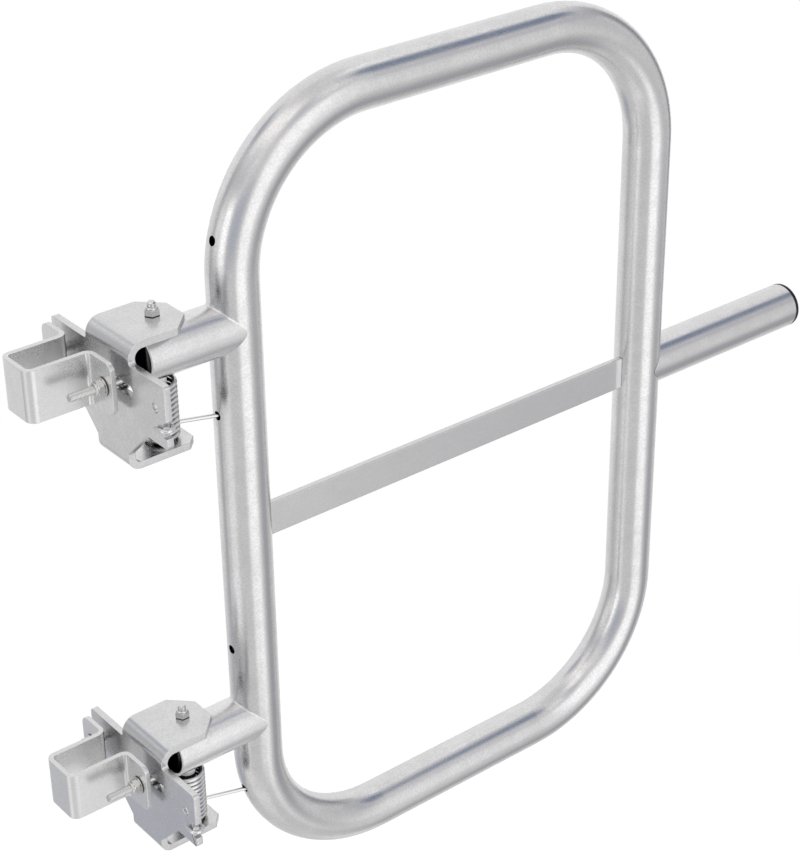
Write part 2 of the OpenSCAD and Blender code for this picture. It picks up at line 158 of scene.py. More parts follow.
low_tone, high_tone = (0.74, 0.73, 0.73, 1.0), (0.80, 0.79, 0.80, 1.0)
tone_turns = 60.0
sky = mixed(room, ramp(room, height, -tone_turns, tone_turns), low_tone, high_tone)
for panel in (
    (22, 14, 104, 92, 5, (1.0, 1.0, 1.0)),          # plain backdrop behind the gate
    (15, -14, 80, 22, 8, (0.90, 0.90, 0.90)),       # its lower part
    (38, -44, 56, 22, 6, (0.94, 0.94, 0.94)),       # its foot on the ground
    (-105, 66, 110, 24, 8, (1.34, 1.31, 1.28)),     # lit ceiling on the left
    (-66, 50, 30, 12, 5, (1.08, 1.07, 1.06)),       # lamp under it
    (-128, 44, 28, 14, 5, (0.98, 0.98, 0.98)),      # lamp beside it
    (-24, 64, 30, 16, 6, (0.98, 0.98, 0.98)),       # ceiling over the backdrop
    (84, 60, 30, 24, 7, (1.15, 1.15, 1.15)),        # ceiling on the right
    (-176, 54, 34, 18, 6, (0.58, 0.59, 0.64)),      # dark strip above the front softbox
    (-133, 4, 36, 34, 7, (0.52, 0.55, 0.62)),       # wall between the two softboxes
    (-75, 31, 60, 8, 4, (0.58, 0.58, 0.60)),        # shelf over the left softbox
    (-47, -4, 22, 66, 7, (0.50, 0.50, 0.52)),       # dark wall left of the backdrop
    (-27, 44, 32, 16, 5, (0.42, 0.45, 0.52)),       # its upper corner
    (-30, -47, 34, 20, 6, (0.47, 0.49, 0.57)),      # its foot
    (82, 3, 21, 56, 4, (0.30, 0.31, 0.34)),         # dark wall right of the backdrop
    (74, 22, 8, 14, 4, (0.42, 0.43, 0.46)),         # its upper corner
    (114, 48, 34, 22, 5, (0.17, 0.22, 0.34)),       # blue opening high on the right
    (122, 14, 28, 30, 8, (0.68, 0.68, 0.70)),       # wall on the right
    (152, 8, 22, 50, 6, (0.98, 0.98, 0.98)),        # pale door beside the front softbox
    (118, -42, 36, 36, 9, (0.42, 0.42, 0.45)),      # foot of the right wall
    (159, -34, 19, 22, 4, (1.10, 1.10, 1.10)),      # pale bench beside the front softbox
    (106, 27, 74, 10, 5, (0.56, 0.55, 0.59)),       # shelf on the right wall
    (158, 56, 28, 18, 6, (1.02, 1.02, 1.02)),       # lamp over the pale door
    (80, -72, 40, 14, 6, (1.00, 1.00, 1.00)),       # lit ground on the right
    (-124, -62, 84, 24, 8, (0.94, 0.94, 0.94)),     # lit ground on the left
    (-90, -38, 34, 18, 6, (1.10, 1.10, 1.10)),      # pale bench under the left softbox
    (-64, 3, 26, 24, 6, (1.0, 1.0, 1.0)),           # small window on the left
    (-95, -1, 25, 42, 5, (1.55, 1.55, 1.55)),       # left softbox
    (-182, -1, 40, 72, 6, (1.36, 1.36, 1.36)),      # front softbox
):
    sky = studio_panel(sky, *panel)
lit_room = node(room, "ShaderNodeBackground", {"Color": sky})
white = node(room, "ShaderNodeBackground", {"Color": (1.0, 1.0, 1.0, 1.0)})
seen = node(room, "ShaderNodeMixShader", {
    0: node(room, "ShaderNodeLightPath").outputs["Is Camera Ray"],
    1: lit_room.outputs[0],
    2: white.outputs[0],
})
node(room, "ShaderNodeOutputWorld", {"Surface": seen.outputs[0]})

# Floor. A round pale sheet well below the leaf, as the gate hangs clear of the ground. It
# takes the shadow, fades out towards its rim, and neither shades the gate nor mirrors in it.
floor_drop = 0.45
floor_radius, floor_whole = 1.1, 0.25
floor_glow = 0.25
floor_middle = (0.42, -0.029, cad_box[0][2] - floor_drop)
floor_mesh = bpy.data.meshes.new("floor")
floor_form = bmesh.new()
bmesh.ops.create_circle(floor_form, cap_ends=True, segments=96, radius=floor_radius)
bmesh.ops.translate(floor_form, verts=floor_form.verts, vec=floor_middle)
floor_form.to_mesh(floor_mesh)
floor_form.free()
floor = bpy.data.objects.new("floor", floor_mesh)
bpy.context.scene.collection.objects.link(floor)
floor_paint = bpy.data.materials.new("floor_paint")
floor_paint.use_nodes = True
paint = floor_paint.node_tree
place = node(paint, "ShaderNodeTexCoord").outputs["Object"]
from_middle = node(paint, "ShaderNodeVectorMath", {
    0: place, 1: floor_middle,
}, operation="DISTANCE").outputs["Value"]
speck = node(paint, "ShaderNodeTexNoise", {"Vector": place, "Scale": 60.0, "Detail": 3.0})
matt = paint.nodes["Principled BSDF"]
matt.inputs["Base Color"].default_value = (0.95, 0.95, 0.95, 1.0)
matt.inputs["Emission Color"].default_value = (1.0, 1.0, 1.0, 1.0)
seen_straight = node(paint, "ShaderNodeLightPath").outputs["Is Camera Ray"]
paint.links.new(
    reckon(paint, "MULTIPLY", seen_straight, floor_glow), matt.inputs["Emission Strength"]
)
paint.links.new(ramp(paint, speck.outputs[0], 0.2, 0.8, 0.75, 0.9), matt.inputs["Roughness"])
faded = node(paint, "ShaderNodeMixShader", {
    0: ramp(paint, from_middle, floor_radius, floor_whole),
    1: node(paint, "ShaderNodeBsdfTransparent").outputs[0],
    2: matt.outputs[0],
})
paint.links.new(faded.outputs[0], paint.nodes["Material Output"].inputs["Surface"])
floor_paint.cycles.emission_sampling = "NONE"
floor_mesh.materials.append(floor_paint)
floor.visible_glossy = False
floor.visible_shadow = False

# Loop tube: one length of 48.3 mm steel tube, bent at its four corners, closed by a butt weld
# and dipped in hot zinc. Four holes for the springs' legs are drilled in its hinge side.
tube_r, bend_r = 0.02415, 0.145
skin = 0.0007
leaf_y = -0.029
loop_middle = (0.4199, leaf_y, 0.2205)
straight_half = (0.10785, 0.0, 0.25585)
unlit = (0.012, 0.012, 0.013)
drift_scale, fog_scale, dust_scale = 90.0, 22.0, 470.0
crystal_share, dust_share, dull_share = 0.3, 0.7, -0.6
ripple_depth, patch_edge = 0.00002, 0.0002


def zinc_coat(name, tone, dull, cloud, grain, spangle=0.012, bright=1.0, patch=None,
              patch_tone=unlit):
    """Zinc on steel: crystal flowers, duller clouds, a slow ripple and a fine grain. Bright is
    the share of it that stays bright metal; the rest is a pale matt film, which on the sleeves
    is a painted highlight. Patch gives the distance from a line or a face and its reach, within
    which the coat has another tone: painted shade where no light gets to, a painted highlight
    or reflection, or the paler inside of the straps."""
    coat = bpy.data.materials.new(name)
    coat.use_nodes = True
    tree = coat.node_tree
    shader = tree.nodes["Principled BSDF"]
    place = node(tree, "ShaderNodeTexCoord").outputs["Object"]
    drift = node(tree, "ShaderNodeTexNoise", {
        "Vector": place, "Scale": drift_scale, "Detail": 2.0,
    })
    bent = node(tree, "ShaderNodeVectorMath", {
        0: drift.outputs["Color"], 1: (0.5 * spangle,) * 3, 2: place,
    }, operation="MULTIPLY_ADD").outputs[0]
    flower = node(tree, "ShaderNodeTexVoronoi", {"Vector": bent, "Scale": 1.0 / spangle})
    facet = node(tree, "ShaderNodeSeparateColor", {0: flower.outputs["Color"]}).outputs[0]
    fog = node(tree, "ShaderNodeTexNoise", {"Vector": place, "Scale": fog_scale, "Detail": 3.0})
    dust = node(tree, "ShaderNodeTexNoise", {
        "Vector": place, "Scale": dust_scale, "Detail": 2.0,
    })
    crystals, specks = crystal_share * cloud, dust_share * cloud
    light = reckon(
        tree, "ADD",
        ramp(tree, facet, 0.0, 1.0, -crystals, crystals),
        ramp(tree, fog.outputs[0], 0.3, 0.7, -crystals, crystals),
    )
    light = reckon(
        tree, "ADD", light, ramp(tree, dust.outputs[0], 0.3, 0.7, -specks, specks)
    )
    level = reckon(tree, "ADD", 1.0, light)
    colour = node(tree, "ShaderNodeVectorMath", {0: tone, 1: level}, operation="MULTIPLY")
    colour = colour.outputs[0]
    if patch:
        away, reach = patch(tree, place)
        inside = ramp(tree, away, reach + patch_edge, reach - patch_edge)
        colour = mixed(tree, inside, colour, (*patch_tone, 1.0))
    tree.links.new(colour, shader.inputs["Base Color"])
    shader.inputs["Metallic"].default_value = bright
    tree.links.new(
        reckon(tree, "MULTIPLY_ADD", light, dull_share, dull), shader.inputs["Roughness"]
    )
    ripple = node(tree, "ShaderNodeBump", {
        "Strength": 1.0, "Distance": ripple_depth, "Height": fog.outputs[0],
    })
    fine = node(tree, "ShaderNodeBump", {
        "Strength": 1.0, "Distance": grain, "Height": dust.outputs[0],
        "Normal": ripple.outputs[0],
    })
    tree.links.new(fine.outputs[0], shader.inputs["Normal"])
    return coat


def from_loop_line(tree, place):
    """Distance from the middle line of the loop, and the radius inside which its bore is
    painted dark as shade.
    """
    spot = node(tree, "ShaderNodeVectorMath", {0: place, 1: loop_middle}, operation="SUBTRACT")
    fold = node(tree, "ShaderNodeVectorMath", {0: spot.outputs[0]}, operation="ABSOLUTE")
    beyond = node(tree, "ShaderNodeVectorMath", {
        0: fold.outputs[0], 1: straight_half,
    }, operation="SUBTRACT")
    outer = node(tree, "ShaderNodeVectorMath", {
        0: beyond.outputs[0], 1: (0.0, 0.0, 0.0),
    }, operation="MAXIMUM")
    flat = node(tree, "ShaderNodeVectorMath", {
        0: outer.outputs[0], 1: (1.0, 0.0, 1.0),
    }, operation="MULTIPLY")
    outside = node(tree, "ShaderNodeVectorMath", {0: flat.outputs[0]}, operation="LENGTH")
    sides = node(tree, "ShaderNodeSeparateXYZ", {0: beyond.outputs[0]})
    nearer = reckon(tree, "MAXIMUM", sides.outputs[0], sides.outputs[2])
    inside = reckon(tree, "MINIMUM", nearer, 0.0)
    from_corner = reckon(tree, "ADD", outside.outputs["Value"], inside)
    in_plane = reckon(tree, "SUBTRACT", from_corner, bend_r)
    off_plane = node(tree, "ShaderNodeSeparateXYZ", {0: spot.outputs[0]}).outputs[1]
    squares = reckon(
        tree, "ADD",
        reckon(tree, "POWER", reckon(tree, "ABSOLUTE", in_plane), 2.0),
        reckon(tree, "POWER", reckon(tree, "ABSOLUTE", off_plane), 2.0),
    )
    return reckon(tree, "SQRT", squares), tube_r - skin


def finish_node(name, coat):
    """Gives a CAD node its coat."""
    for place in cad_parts[name].material_slots:
        place.material = coat


# Painted shade: the coat is dark inside the tube's bore and its holes, where no light gets in.
tube_coat = zinc_coat(
    "galvanised_tube", (0.68, 0.676, 0.68), 0.24, 0.07, 0.000032, patch=from_loop_line
)
finish_node("loop_tube", tube_coat)

# Cross bar: flat steel, coped to the loop's two legs at half height, welded and dipped with
# them. The rolled bar's long edges are rounded, and beside its far weld a pale strip is a
# painted reflection of the leg.
bar_round = 0.0012
# The pale strip of painted reflection reaches this far either side of the bar's end.
bar_end_x, bar_reflection_reach = 0.64886, 0.0088
same_point, flat_angle, edge_angle = 2e-6, math.radians(0.4), math.radians(32)


def eased(name, round_off, body, coat):
    """A CAD node's shape with its edges rounded, in the node's place."""
    form = bmesh.new()
    form.from_mesh(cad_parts[name].data)
    bmesh.ops.remove_doubles(form, verts=form.verts, dist=same_point)
    bmesh.ops.dissolve_limit(
        form, angle_limit=flat_angle, verts=form.verts, edges=form.edges
    )
    mesh = bpy.data.meshes.new(name + "_eased")
    form.to_mesh(mesh)
    form.free()
    for face in mesh.polygons:
        face.use_smooth = True
    piece = bpy.data.objects.new(name + "_eased", mesh)
    bpy.context.scene.collection.objects.link(piece)
    rounding = piece.modifiers.new("edges", "BEVEL")
    rounding.width = round_off
    rounding.segments = 2
    rounding.limit_method = "ANGLE"
    rounding.angle_limit = edge_angle
    rounding.use_clamp_overlap = False
    rounding.miter_outer = "MITER_SHARP"
    even = piece.modifiers.new("flat_faces", "WEIGHTED_NORMAL")
    even.mode = "FACE_AREA"
    even.weight = 100
    even.keep_sharp = True
    ready = piece.evaluated_get(bpy.context.evaluated_depsgraph_get())
    piece.data = bpy.data.meshes.new_from_object(ready)
    piece.modifiers.clear()
    piece.data.materials.clear()
    piece.data.materials.append(coat)
    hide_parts(name)
    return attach(piece, body)


def near_face(axis, level, reach):
    """A patch on both sides of a face that stands square to one axis."""
    def patch(tree, place):
        along = node(tree, "ShaderNodeSeparateXYZ", {0: place}).outputs[axis]
        return reckon(tree, "ABSOLUTE", reckon(tree, "SUBTRACT", along, level)), reach
    return patch


bar_coat = zinc_coat(
    "galvanised_bar", (0.655, 0.651, 0.655), 0.30, 0.04, 0.00001,
    patch=near_face(0, bar_end_x, bar_reflection_reach), patch_tone=(0.81, 0.805, 0.81),
)
eased("cross_bar", bar_round, "leaf", bar_coat)

# Hinge arms and sleeves: a short piece of the same tube, coped to the loop and open towards
# the post, with a bearing sleeve welded upright through it. No light reaches into its bore,
# which is painted dark as shade.
hinges = {
    "lower": Vector((0.08305, leaf_y, 0.008)),
    "upper": Vector((0.08305, leaf_y, 0.433)),
}
bore_r, bore_skin = 0.02095, 0.0006
coil_shade = 0.0303


def round_line(middle, across, reach):
    """A patch round a straight line. Across is 1 on the two axes that it doesn't follow."""
    def patch(tree, place):
        spot = node(tree, "ShaderNodeVectorMath", {
            0: place, 1: tuple(middle),
        }, operation="SUBTRACT")
        flat = node(tree, "ShaderNodeVectorMath", {
            0: spot.outputs[0], 1: across,
        }, operation="MULTIPLY")
        away = node(tree, "ShaderNodeVectorMath", {0: flat.outputs[0]}, operation="LENGTH")
        return away.outputs["Value"], reach
    return patch


def or_below(line_patch, level):
    """A patch round a line that also takes in all that is below a level."""
    def patch(tree, place):
        away, reach = line_patch(tree, place)
        up = node(tree, "ShaderNodeSeparateXYZ", {0: place}).outputs[2]
        over_level = reckon(tree, "SUBTRACT", up, level - reach)
        return reckon(tree, "MINIMUM", away, over_level), reach
    return patch


for level_name, hinge in hinges.items():
    in_arm = round_line(hinge, (0.0, 1.0, 1.0), bore_r + bore_skin)
    # The arms' zinc is paler than the loop's, as a painted highlight.
    arm_coat = zinc_coat(
        level_name + "_arm_zinc", (0.74, 0.737, 0.74), 0.24, 0.07, 0.000032, patch=in_arm
    )
    # The sleeve is painted pale and matt as a highlight, and dark as painted shade in the arm's
    # bore and below the coil's top.
    sleeve_coat = zinc_coat(
        level_name + "_sleeve_zinc", (0.98, 0.98, 0.98), 0.25, 0.02, 0.00001, bright=0.0,
        patch=or_below(in_arm, hinge.z - coil_shade),
    )
    finish_node(level_name + "_hinge_arm", arm_coat)
    finish_node(level_name + "_hinge_sleeve", sleeve_coat)

# Corner runs: the dressed weld and the zinc that settles on it, which soften the corner where
# each arm and the stop tube meet the loop. They thin out towards the tube's two sides.
arm_run, tail_run = (0.0030, 0.0012), (0.0012, 0.0012)
run_least, run_sink, run_root, run_taper = 0.00015, 0.00018, 0.0012, 0.6
hinge_leg_x, far_leg_x = 0.16705, 0.67275


def corner_run(name, leg_x, tube_z, side, sizes, coat):
    """A hollow-faced run round the joint of a tube that meets a leg from one side. It has one
    size above the tube and one below it."""
    above_size, below_size = sizes
    around, across = 128, 9
    points = []
    for step in range(around):
        turn = 2 * math.pi * (step + 0.5) / around
        y, up = math.cos(turn), math.sin(turn)
        out = abs(up)
        size = max(run_least, (above_size if up > 0 else below_size) * out ** run_taper)
        sunk, root = tube_r - run_sink, tube_r - run_root
        corner = Vector((side * out * tube_r, y * tube_r, up * tube_r))
        on_tube = Vector((side * (out * tube_r + size), y * sunk, up * sunk))
        on_leg = Vector((side * out * sunk, y * sunk, math.copysign(out * tube_r + size, up)))
        ring = []
        for place in range(across):
            t = place / (across - 1)
            ring.append(on_tube * (1 - t) ** 2 + corner * 2 * t * (1 - t) + on_leg * t * t)
        ring.append(Vector((side * out * root, y * root, up * root)))
        points += [point + Vector((leg_x, leaf_y, tube_z)) for point in ring]
    rows = across + 1
    faces = [
        (
            step * rows + place,
            step * rows + (place + 1) % rows,
            (step + 1) % around * rows + (place + 1) % rows,
            (step + 1) % around * rows + place,
        )
        for step in range(around) for place in range(rows)
    ]
    form = bmesh.new()
    mesh = bpy.data.meshes.new(name)
    mesh.from_pydata(points, [], faces)
    form.from_mesh(mesh)
    bmesh.ops.recalc_face_normals(form, faces=form.faces)
    form.to_mesh(mesh)
    form.free()
    for face in mesh.polygons:
        face.use_smooth = True
    mesh.set_sharp_from_angle(angle=math.radians(60))
    mesh.materials.append(coat)
    made = bpy.data.objects.new(name, mesh)
    bpy.context.scene.collection.objects.link(made)
    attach(made, "leaf")


for level_name, hinge in hinges.items():
    corner_run(level_name + "_arm_run", hinge_leg_x, hinge.z, -1, arm_run, tube_coat)
corner_run("stop_tube_run", far_leg_x, loop_middle[2], 1, tail_run, tube_coat)

# Stop tube: the leaf's tail, of the same tube, which laps over the far post when the gate is
# shut. It is coped and welded to the loop's other leg.
finish_node("stop_tube", tube_coat)

# Stop tube plug: a moulded black plastic cap with a rounded rim and a hollow stem, pushed
# into the tube's open end. Its skin has fine pores and pale scuffs, and little gloss.
pore_scale, pore_depth, scuff_scale = 1100.0, 0.00002, 90.0
black, scuffed = (0.010, 0.010, 0.011, 1.0), (0.024, 0.024, 0.025, 1.0)
plug_dull, plug_duller, plug_gloss = 0.34, 0.48, 0.2
plug_plastic = bpy.data.materials.new("black_plastic")
plug_plastic.use_nodes = True
plastic = plug_plastic.node_tree
moulded = plastic.nodes["Principled BSDF"]
place = node(plastic, "ShaderNodeTexCoord").outputs["Object"]
pore = node(plastic, "ShaderNodeTexNoise", {
    "Vector": place, "Scale": pore_scale, "Detail": 2.0,
})
scuff = node(plastic, "ShaderNodeTexNoise", {
    "Vector": place, "Scale": scuff_scale, "Detail": 5.0,
})
plastic.links.new(
    mixed(plastic, ramp(plastic, scuff.outputs[0], 0.45, 0.75), black, scuffed),
    moulded.inputs["Base Color"],
)
plastic.links.new(
    ramp(plastic, scuff.outputs[0], 0.3, 0.7, plug_dull, plug_duller),
    moulded.inputs["Roughness"],
)
pored = node(plastic, "ShaderNodeBump", {
    "Strength": 1.0, "Distance": pore_depth, "Height": pore.outputs[0],
})
plastic.links.new(pored.outputs[0], moulded.inputs["Normal"])
moulded.inputs["Specular IOR Level"].default_value = plug_gloss
finish_node("stop_tube_plug", plug_plastic)

# Hinge brackets: 7 mm plate, laser cut and bent at top and bottom to two flanges that hold the
# hinge bolt, then dipped. Zinc rounds off the cut edges, and the spare hole's wall has a pale
# painted highlight.
plate_round = 0.0006
spare_hole, hole_highlight_reach = Vector((0.0, -0.0735, -0.008)), 0.0046
for level_name, hinge in hinges.items():
    plate_coat = zinc_coat(
        level_name + "_plate_zinc", (0.66, 0.66, 0.665), 0.24, 0.06, 0.000014,
        patch=round_line(hinge + spare_hole, (0.0, 1.0, 1.0), hole_highlight_reach),
        patch_tone=(0.80, 0.80, 0.80),
    )
    eased(
        level_name + "_hinge_bracket", plate_round, "post_side", plate_coat
    )

# Post clamps: 50 x 5 mm strap bent to a U that takes the post, with an ear at each end for
# its bolt. They are dipped as the brackets are, and their coat is paler on the U's inner faces.
socket_side, socket_back, inner_skin = 0.0175, -0.03425, 0.0006


def from_socket(tree, place):
    """Distance outwards from the strap's inner faces, and the reach of their paler tone."""
    spot = node(tree, "ShaderNodeSeparateXYZ", {0: place})
    aside = reckon(tree, "SUBTRACT", reckon(tree, "ABSOLUTE", spot.outputs[1]), socket_side)
    behind = reckon(tree, "SUBTRACT", socket_back, spot.outputs[0])
    return reckon(tree, "MAXIMUM", aside, behind), inner_skin


strap_coat = zinc_coat(
    "galvanised_strap", (0.70, 0.70, 0.70), 0.26, 0.03, 0.000006, bright=0.8,
    patch=from_socket, patch_tone=(0.80, 0.80, 0.80),
)
for level_name in hinges:
    eased(level_name + "_post_clamp", plate_round, "post_side", strap_coat)

# Bolts: hexagon bolts of 8 mm with a rolled thread, zinc plated. Two pull each strap to its
# bracket, and a long one is the pin of each hinge.
plated, plated_spangle = (0.66, 0.66, 0.65), 0.004
bolt_coat = zinc_coat("zinc_fasteners", plated, 0.13, 0.03, 0.000002, spangle=plated_spangle)
bolt_r, across_flats, head_h, tip_cut = 0.004, 0.013, 0.0053, 0.001
head_slope, head_middle = math.tan(math.radians(30)), 0.4
pitch, thread_depth = 0.00125, 0.00017
sides, rings_per_turn = 36, 8


def blank(name, length, thread):
    """A bolt without its thread: head on the origin, shank downwards in fine rings."""
    def hex_r(turn):
        return across_flats / 2 / math.cos(math.radians(turn % 60 - 30))

    flat_r = across_flats / 2
    rings = [
        lambda turn: (flat_r * head_middle, head_h),
        lambda turn: (flat_r, head_h),
        lambda turn: (hex_r(turn), head_h - (hex_r(turn) - flat_r) * head_slope),
        lambda turn: (hex_r(turn), 0.0),
        lambda turn: (bolt_r, 0.0),
        lambda turn: (bolt_r, thread - length),
    ]
    steps = round((thread - tip_cut) / pitch * rings_per_turn)
    for step in range(1, steps + 1):
        down = thread - length - (thread - tip_cut) * step / steps
        rings.append(lambda turn, down=down: (bolt_r, down))
    rings.append(lambda turn: (bolt_r - tip_cut, -length))
    points = []
    for ring in rings:
        for side in range(sides):
            turn = 360.0 * side / sides
            r, z = ring(turn)
            points.append((
                r * math.cos(math.radians(turn)), r * math.sin(math.radians(turn)), z
            ))
    faces = [tuple(range(sides)), tuple(reversed(range(len(points) - sides, len(points))))]
    for row in range(len(rings) - 1):
        for side in range(sides):
            a, b = row * sides + side, row * sides + (side + 1) % sides
            faces.append((a, a + sides, b + sides, b))
    mesh = bpy.data.meshes.new(name)
    mesh.from_pydata(points, [], faces)
    for face in mesh.polygons:
        face.use_smooth = True
    mesh.set_sharp_from_angle(angle=math.radians(29))
    made = bpy.data.objects.new(name, mesh)
    bpy.context.scene.collection.objects.link(made)
    return made


# Rolls the thread into a blank and puts a copy of it on each point
roll = bpy.data.node_groups.new("roll_thread_and_place", "GeometryNodeTree")
roll.interface.new_socket("Points", in_out="INPUT", socket_type="NodeSocketGeometry")
roll.interface.new_socket("Bolts", in_out="OUTPUT", socket_type="NodeSocketGeometry")
roll_sockets = {
    name: roll.interface.new_socket(name, in_out="INPUT", socket_type=kind).identifier
    for name, kind in (
        ("Blank", "NodeSocketObject"), ("Pitch", "NodeSocketFloat"),
        ("Depth", "NodeSocketFloat"), ("Thread start", "NodeSocketFloat"),
        ("Turn", "NodeSocketVector"), ("Coat", "NodeSocketMaterial"),
    )
}
given = node(roll, "NodeGroupInput").outputs
source = node(roll, "GeometryNodeObjectInfo", {"Object": given["Blank"]})
spot = node(roll, "GeometryNodeInputPosition").outputs[0]
part = node(roll, "ShaderNodeSeparateXYZ", {0: spot})
angle = reckon(roll, "ARCTAN2", part.outputs[1], part.outputs[0])
winding = reckon(
    roll, "SUBTRACT",
    reckon(roll, "DIVIDE", part.outputs[2], given["Pitch"]),
    reckon(roll, "DIVIDE", angle, 2 * math.pi),
)
saw = reckon(
    roll, "ABSOLUTE", reckon(roll, "MULTIPLY_ADD", reckon(roll, "FRACT", winding), 2.0, -1.0)
)
crest_edge, root_edge = 0.06, 0.9
groove = reckon(roll, "MULTIPLY", given["Depth"], ramp(roll, saw, crest_edge, root_edge))
past_start = reckon(roll, "SUBTRACT", given["Thread start"], part.outputs[2])
run_in = ramp(roll, past_start, 0.0, pitch)
cut = reckon(roll, "DIVIDE", reckon(roll, "MULTIPLY", groove, run_in), bolt_r)
shrink = reckon(roll, "SUBTRACT", 1.0, cut)
narrower = node(roll, "ShaderNodeCombineXYZ", {0: shrink, 1: shrink, 2: 1.0})
moved = node(roll, "ShaderNodeVectorMath", {
    0: spot, 1: narrower.outputs[0],
}, operation="MULTIPLY")
threaded = node(roll, "GeometryNodeSetPosition", {
    "Geometry": source.outputs["Geometry"], "Position": moved.outputs[0],
})
copies = node(roll, "GeometryNodeInstanceOnPoints", {
    "Points": given["Points"], "Instance": threaded.outputs[0], "Rotation": given["Turn"],
})
real = node(roll, "GeometryNodeRealizeInstances", {0: copies.outputs[0]})
coated = node(roll, "GeometryNodeSetMaterial", {
    "Geometry": real.outputs[0], "Material": given["Coat"],
})
node(roll, "NodeGroupOutput", {0: coated.outputs[0]})


def settled(piece, tree, sockets, inputs, coat):
    """Runs a node tree on a piece and keeps the result as its plain mesh."""
    run = piece.modifiers.new("build", "NODES")
    run.node_group = tree
    for name, value in inputs.items():
        run[sockets[name]] = value
    ready = piece.evaluated_get(bpy.context.evaluated_depsgraph_get())
    mesh = bpy.data.meshes.new_from_object(ready)
    mesh.materials.clear()
    mesh.materials.append(coat)
    name = piece.name
    bpy.data.objects.remove(piece)
    made = bpy.data.objects.new(name, mesh)
    bpy.context.scene.collection.objects.link(made)
    return made


def put_bolts(name, blank_bolt, length, thread, places, turn, stands_for):
    """Threaded copies of a blank at their places, in the stead of a CAD node."""
    points = bpy.data.meshes.new(name)
    points.from_pydata([tuple(place) for place in places], [], [])
    piece = bpy.data.objects.new(name, points)
    bpy.context.scene.collection.objects.link(piece)
    piece = settled(piece, roll, roll_sockets, {
        "Blank": blank_bolt, "Pitch": pitch, "Depth": thread_depth,
        "Thread start": thread - length, "Turn": turn, "Coat": bolt_coat,
    }, bolt_coat)
    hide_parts(stands_for)
    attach(piece, "post_side")


clamp_len, clamp_thread = 0.055, 0.040
clamp_x, clamp_half = 0.04285, 0.042
clamp_levels = {"lower": 0.0, "upper": 0.425}
short_blank = blank("clamp_bolt_blank", clamp_len, clamp_thread)
for level_name, z in clamp_levels.items():
    put_bolts(
        level_name + "_clamp_bolts_threaded", short_blank, clamp_len, clamp_thread,
        [(clamp_x, -clamp_half, z), (clamp_x, clamp_half, z)],
        (0.0, math.radians(90), 0.0), level_name + "_clamp_bolts",
    )
hinge_len, hinge_thread, flange_bottom = 0.140, 0.022, 0.092
long_blank = blank("hinge_bolt_blank", hinge_len, hinge_thread)
for level_name, hinge in hinges.items():
    put_bolts(
        level_name + "_hinge_bolt_threaded", long_blank, hinge_len, hinge_thread,
        [hinge - Vector((0.0, 0.0, flange_bottom))],
        (math.radians(180), 0.0, 0.0), level_name + "_hinge_bolt",
    )
for used in (short_blank, long_blank):
    bpy.data.objects.remove(used)

# Nuts and washers: locking nuts with a domed collar, and plain washers under the clamp bolts'
# heads and nuts. They are zinc plated as the bolts are, with a dark band of painted contact
# shadow where they bear.
ear_face, nut_face, flange_face = 0.02175, 0.02015, 0.0356
# Widths of the painted contact shadow at the faces where washers and nuts bear.
ear_contact_shadow, nut_contact_shadow, flange_contact_shadow = 0.0009, 0.0001, 0.0007
washer_coat = zinc_coat(
    "zinc_washers", plated, 0.13, 0.03, 0.000002, spangle=plated_spangle,
    patch=near_face(0, ear_face, ear_contact_shadow),
)
nut_coat = zinc_coat(
    "zinc_nuts", plated, 0.12, 0.03, 0.000002, spangle=plated_spangle,
    patch=near_face(0, nut_face, nut_contact_shadow),
)
for level_name, hinge in hinges.items():
    finish_node(level_name + "_clamp_washers", washer_coat)
    finish_node(level_name + "_clamp_nuts", nut_coat)
    finish_node(level_name + "_hinge_nut", zinc_coat(
        level_name + "_hinge_nut_zinc", plated, 0.12, 0.03, 0.000002, spangle=plated_spangle,
        patch=near_face(2, hinge.z + flange_face, flange_contact_shadow),
    ))

# Springs: 4 mm wire wound to eleven turns under each arm. The top leg hooks round the
# bracket's front edge in its notch, with a tail on the web that is longer on the upper one,
# and the bottom leg sits in a hole of the loop.
wire_r, wire_sides = 0.002, 16
coil_r, coil_turns, steps_per_turn = 0.0155, 11, 40
coil_top, coil_low, inner_side = -0.02705, -0.0827, 0.0005
hook_r, hook_x, hook_y, hook_z = 0.0058, -0.0453, -0.084, -0.024
hook_run = 0.005
hook_tail = {"lower": (0.007, 0.0), "upper": (0.009, -0.002)}
hole_face, hole_y, hole_z, leg_in_hole = 0.05985, 0.001, -0.085, 0.010
clear_x = 0.0255
leg_bend, tail_bend, bend_steps, most_of_leg = 0.004, 0.003, 6, 0.45


def tangent_turn(point, sign):
    """Angle at which the coil's circle is left for a point beside it."""
    turn = math.atan2(point[1], point[0]) % (2 * math.pi)
    return turn + sign * math.acos(coil_r / math.hypot(*point))


def softened(points, reach):
    """The path with a small bend in place of each corner."""
    path = [Vector(points[0])]
    for before, corner, after in zip(points, points[1:], points[2:]):
        before, corner, after = Vector(before), Vector(corner), Vector(after)
        back, on = before - corner, after - corner
        room_here = min(reach, most_of_leg * back.length, most_of_leg * on.length)
        first = corner + back.normalized() * room_here
        last = corner + on.normalized() * room_here
        for step in range(bend_steps + 1):
            t = step / bend_steps
            path.append(first * (1 - t) ** 2 + corner * 2 * t * (1 - t) + last * t * t)
    return path + [Vector(points[-1])]


upper_leg = (hook_x + hook_r, hook_y + hook_run)
turn_from = tangent_turn(upper_leg, -1)
turn_to = tangent_turn((hole_face, hole_y), 1)
turn_total = coil_turns * 2 * math.pi + turn_from - turn_to
coil_steps = round(turn_total / (2 * math.pi) * steps_per_turn)


def coil_point(t):
    """Point of the coil, from 0 at its top to 1 at its foot."""
    turn = turn_from - t * turn_total
    return Vector((
        coil_r * math.cos(turn), coil_r * math.sin(turn), coil_top + t * (coil_low - coil_top)
    ))


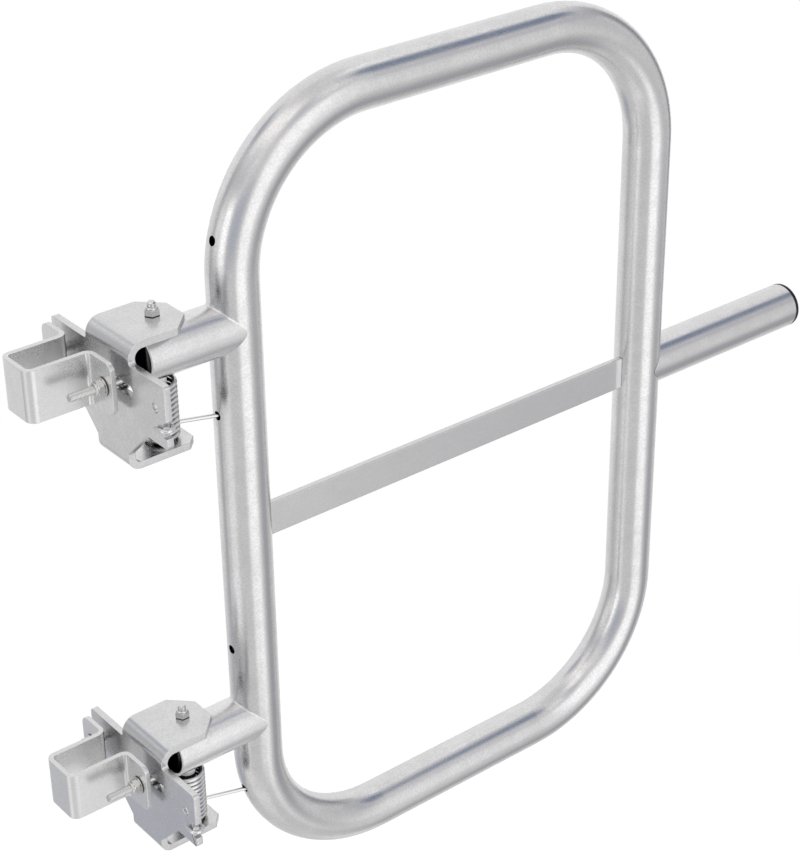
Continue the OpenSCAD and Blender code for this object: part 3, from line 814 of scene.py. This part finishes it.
bend = [
    (
        hook_x + hook_r * math.cos(math.radians(turn)),
        hook_y + hook_r * math.sin(math.radians(turn)),
        hook_z,
    )
    for turn in range(180, 361, 12)
]
foot = coil_point(1)
in_hole = Vector((hole_face, hole_y, hole_z))
over_flange = foot + (clear_x - foot.x) / (hole_face - foot.x) * (
    Vector((hole_face, hole_y, coil_low)) - foot)
leg_end = in_hole + leg_in_hole * (in_hole - over_flange).normalized()
top_leg = softened([bend[-1], (*upper_leg, hook_z), coil_point(0)], leg_bend)
low_leg = softened([foot, over_flange, leg_end], leg_bend)


def wire_path(tail):
    """The wire's middle line from the tail on the web, round its edge, down and out."""
    end = (hook_x - hook_r, hook_y + tail[0], hook_z + tail[1])
    on_web = softened([end, bend[0], bend[1]], tail_bend)[:-1]
    round_edge = [Vector(point) for point in bend[1:-1]]
    coil = [coil_point(step / coil_steps) for step in range(coil_steps)]
    return on_web + round_edge + top_leg[:-1] + coil + low_leg


# Draws round wire along a path
draw = bpy.data.node_groups.new("draw_wire", "GeometryNodeTree")
draw.interface.new_socket("Path", in_out="INPUT", socket_type="NodeSocketGeometry")
draw.interface.new_socket("Wire", in_out="OUTPUT", socket_type="NodeSocketGeometry")
draw_sockets = {
    name: draw.interface.new_socket(name, in_out="INPUT", socket_type=kind).identifier
    for name, kind in (
        ("Wire radius", "NodeSocketFloat"), ("Sides", "NodeSocketInt"),
        ("Coat", "NodeSocketMaterial"),
    )
}
given = node(draw, "NodeGroupInput").outputs
round_wire = node(draw, "GeometryNodeCurvePrimitiveCircle", {
    "Resolution": given["Sides"], "Radius": given["Wire radius"],
})
swept = node(draw, "GeometryNodeCurveToMesh", {
    "Curve": given["Path"], "Profile Curve": round_wire.outputs[0], "Fill Caps": True,
})
smooth = node(draw, "GeometryNodeSetShadeSmooth", {"Geometry": swept.outputs[0]})
real = node(draw, "GeometryNodeRealizeInstances", {0: smooth.outputs[0]})
coated = node(draw, "GeometryNodeSetMaterial", {
    "Geometry": real.outputs[0], "Material": given["Coat"],
})
node(draw, "NodeGroupOutput", {0: coated.outputs[0]})
for level_name, hinge in hinges.items():
    name = level_name + "_spring_wire"
    curve = bpy.data.curves.new(name, "CURVE")
    curve.dimensions = "3D"
    line = curve.splines.new("POLY")
    path = wire_path(hook_tail[level_name])
    line.points.add(len(path) - 1)
    for point, where in zip(line.points, path):
        point.co = (*(where + hinge), 1.0)
    wound = bpy.data.objects.new(name, curve)
    bpy.context.scene.collection.objects.link(wound)
    # Painted shade: the wire is dark on its side that faces into the coil.
    spring_coat = zinc_coat(
        level_name + "_spring_zinc", (0.71, 0.71, 0.71), 0.19, 0.04, 0.000006, spangle=0.005,
        patch=round_line(hinge, (1.0, 1.0, 0.0), coil_r - inner_side),
    )
    wound = settled(wound, draw, draw_sockets, {
        "Wire radius": wire_r, "Sides": wire_sides, "Coat": spring_coat,
    }, spring_coat)
    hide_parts(level_name + "_spring")
    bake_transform(wound)
